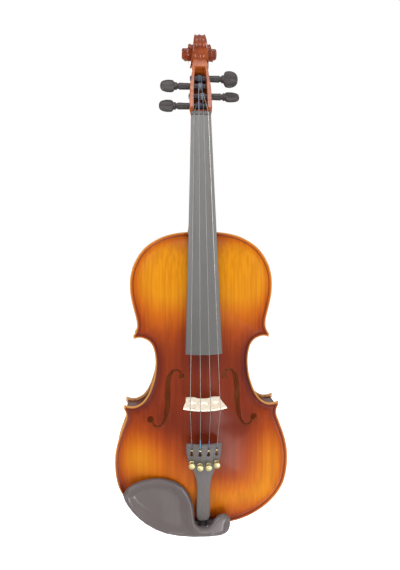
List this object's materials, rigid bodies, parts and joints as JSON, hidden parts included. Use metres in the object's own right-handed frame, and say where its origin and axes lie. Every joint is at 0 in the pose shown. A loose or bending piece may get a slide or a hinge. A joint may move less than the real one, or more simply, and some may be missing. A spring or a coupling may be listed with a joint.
{
  "type": "violin",
  "caption": "Full-size violin with hollow carved body, sound holes, scroll, turning pegs, tailpiece with screw tuners and a clamped chinrest.",
  "frame": {"origin": "where a wall hanger's yoke takes the head, just under the volute, on the centre line", "axes": "+Z towards the scroll, -Y out of the belly, +X towards the treble side"},
  "size_m": [0.209, 0.0985, 0.6044],
  "materials": {
    "varnished_spruce": "glossy orange-brown sunburst varnish over vertical grain",
    "varnished_maple": "glossy orange-brown varnish over flamed maple",
    "inner_spruce": "bare planed spruce",
    "ebonised_wood": "satin ebonised hardwood",
    "peg_wood": "polished dark stained hardwood",
    "bridge_maple": "bare pale maple",
    "wound_string": "flat-wound metal",
    "nylon_cord": "dark smooth nylon",
    "cork": "compressed cork sheet",
    "gilt_brass": "polished gilt brass",
    "nickel_steel": "nickel-plated steel"
  },
  "bodies": {
    "violin": {"back_plate": "varnished_maple", "bass_bar": "inner_spruce", "bridge": "bridge_maple", "chinrest": "ebonised_wood", "chinrest_cork_left": "cork", "chinrest_cork_right": "cork", "clamp_foot": "nickel_steel", "clamp_stud_left": "nickel_steel", "clamp_stud_right": "nickel_steel", "corner_block_lower_left": "inner_spruce", "corner_block_lower_right": "inner_spruce", "corner_block_upper_left": "inner_spruce", "corner_block_upper_right": "inner_spruce", "end_button": "ebonised_wood", "fingerboard": "ebonised_wood", "foot_cork": "cork", "front_plate": "varnished_spruce", "lower_block": "inner_spruce", "neck": "varnished_maple", "nut": "ebonised_wood", "rib_centre_left": "varnished_maple", "rib_centre_right": "varnished_maple", "rib_lower_left": "varnished_maple", "rib_lower_right": "varnished_maple", "rib_upper_left": "varnished_maple", "rib_upper_right": "varnished_maple", "saddle": "ebonised_wood", "sound_post": "inner_spruce", "string_a": "wound_string", "string_d": "wound_string", "string_e": "wound_string", "string_g": "wound_string", "tailgut": "nylon_cord", "tailpiece": "ebonised_wood", "upper_block": "inner_spruce", "tuner_bush_g": "gilt_brass", "tuner_bush_d": "gilt_brass", "tuner_bush_a": "gilt_brass", "tuner_bush_e": "gilt_brass"},
    "peg_g": {"peg_g": "peg_wood"},
    "peg_d": {"peg_d": "peg_wood"},
    "peg_a": {"peg_a": "peg_wood"},
    "peg_e": {"peg_e": "peg_wood"},
    "tuner_screw_g": {"tuner_stem_g": "gilt_brass"},
    "tuner_knob_g": {"tuner_knob_g": "gilt_brass"},
    "tuner_lever_g": {"tuner_lever_g": "gilt_brass"},
    "tuner_screw_d": {"tuner_stem_d": "gilt_brass"},
    "tuner_knob_d": {"tuner_knob_d": "gilt_brass"},
    "tuner_lever_d": {"tuner_lever_d": "gilt_brass"},
    "tuner_screw_a": {"tuner_stem_a": "gilt_brass"},
    "tuner_knob_a": {"tuner_knob_a": "gilt_brass"},
    "tuner_lever_a": {"tuner_lever_a": "gilt_brass"},
    "tuner_screw_e": {"tuner_stem_e": "gilt_brass"},
    "tuner_knob_e": {"tuner_knob_e": "gilt_brass"},
    "tuner_lever_e": {"tuner_lever_e": "gilt_brass"},
    "clamp_barrel_left": {"clamp_barrel_left": "nickel_steel"},
    "clamp_barrel_right": {"clamp_barrel_right": "nickel_steel"}
  },
  "joints": [
    {"name": "peg_g_turn", "type": "hinge", "parent": "violin", "child": "peg_g", "pos_m": [0, -0.0092, -0.0546], "axis": [1, 0, 0], "continuous": true},
    {"name": "peg_d_turn", "type": "hinge", "parent": "violin", "child": "peg_d", "pos_m": [0, -0.0054, -0.0304], "axis": [1, 0, 0], "continuous": true},
    {"name": "peg_a_turn", "type": "hinge", "parent": "violin", "child": "peg_a", "pos_m": [0, -0.0036, -0.0206], "axis": [1, 0, 0], "continuous": true},
    {"name": "peg_e_turn", "type": "hinge", "parent": "violin", "child": "peg_e", "pos_m": [0, -0.0074, -0.0426], "axis": [1, 0, 0], "continuous": true},
    {"name": "tuner_g_travel", "type": "slide", "parent": "violin", "child": "tuner_screw_g", "axis": [0, -0.9792, -0.2028], "range_m": [-0.0018, 0.001]},
    {"name": "tuner_g_turn", "type": "hinge", "parent": "tuner_screw_g", "child": "tuner_knob_g", "pos_m": [-0.0145, -0.04676, -0.4698], "axis": [0, -0.9792, -0.2028], "range_deg": [-1350, 760]},
    {"name": "tuner_g_lever", "type": "hinge", "parent": "violin", "child": "tuner_lever_g", "pos_m": [-0.0145, -0.04239, -0.46], "axis": [1, 0, 0], "range_deg": [-7, 13]},
    {"name": "tuner_d_travel", "type": "slide", "parent": "violin", "child": "tuner_screw_d", "axis": [0, -0.9792, -0.2028], "range_m": [-0.0018, 0.001]},
    {"name": "tuner_d_turn", "type": "hinge", "parent": "tuner_screw_d", "child": "tuner_knob_d", "pos_m": [-0.0049, -0.04839, -0.4718], "axis": [0, -0.9792, -0.2028], "range_deg": [-1350, 760]},
    {"name": "tuner_d_lever", "type": "hinge", "parent": "violin", "child": "tuner_lever_d", "pos_m": [-0.0049, -0.04444, -0.46], "axis": [1, 0, 0], "range_deg": [-7, 13]},
    {"name": "tuner_a_travel", "type": "slide", "parent": "violin", "child": "tuner_screw_a", "axis": [0, -0.9792, -0.2028], "range_m": [-0.0018, 0.001]},
    {"name": "tuner_a_turn", "type": "hinge", "parent": "tuner_screw_a", "child": "tuner_knob_a", "pos_m": [0.0049, -0.04839, -0.4718], "axis": [0, -0.9792, -0.2028], "range_deg": [-1350, 760]},
    {"name": "tuner_a_lever", "type": "hinge", "parent": "violin", "child": "tuner_lever_a", "pos_m": [0.0049, -0.04444, -0.46], "axis": [1, 0, 0], "range_deg": [-7, 13]},
    {"name": "tuner_e_travel", "type": "slide", "parent": "violin", "child": "tuner_screw_e", "axis": [0, -0.9792, -0.2028], "range_m": [-0.0018, 0.001]},
    {"name": "tuner_e_turn", "type": "hinge", "parent": "tuner_screw_e", "child": "tuner_knob_e", "pos_m": [0.0145, -0.04676, -0.4698], "axis": [0, -0.9792, -0.2028], "range_deg": [-1350, 760]},
    {"name": "tuner_e_lever", "type": "hinge", "parent": "violin", "child": "tuner_lever_e", "pos_m": [0.0145, -0.04239, -0.46], "axis": [1, 0, 0], "range_deg": [-7, 13]},
    {"name": "clamp_left_turn", "type": "hinge", "parent": "violin", "child": "clamp_barrel_left", "pos_m": [-0.021, -0.005, -0.5623], "axis": [0, 1, 0], "continuous": true},
    {"name": "clamp_right_turn", "type": "hinge", "parent": "violin", "child": "clamp_barrel_right", "pos_m": [0.021, -0.005, -0.5623], "axis": [0, 1, 0], "continuous": true}
  ],
  "couplings": [
    {"joint": "tuner_g_turn", "follows": "tuner_g_travel", "rad_per_m": 12566},
    {"joint": "tuner_g_lever", "follows": "tuner_g_travel", "rad_per_m": -114.8},
    {"joint": "tuner_d_turn", "follows": "tuner_d_travel", "rad_per_m": 12566},
    {"joint": "tuner_d_lever", "follows": "tuner_d_travel", "rad_per_m": -93},
    {"joint": "tuner_a_turn", "follows": "tuner_a_travel", "rad_per_m": 12566},
    {"joint": "tuner_a_lever", "follows": "tuner_a_travel", "rad_per_m": -93},
    {"joint": "tuner_e_turn", "follows": "tuner_e_travel", "rad_per_m": 12566},
    {"joint": "tuner_e_lever", "follows": "tuner_e_travel", "rad_per_m": -114.8}
  ]
}
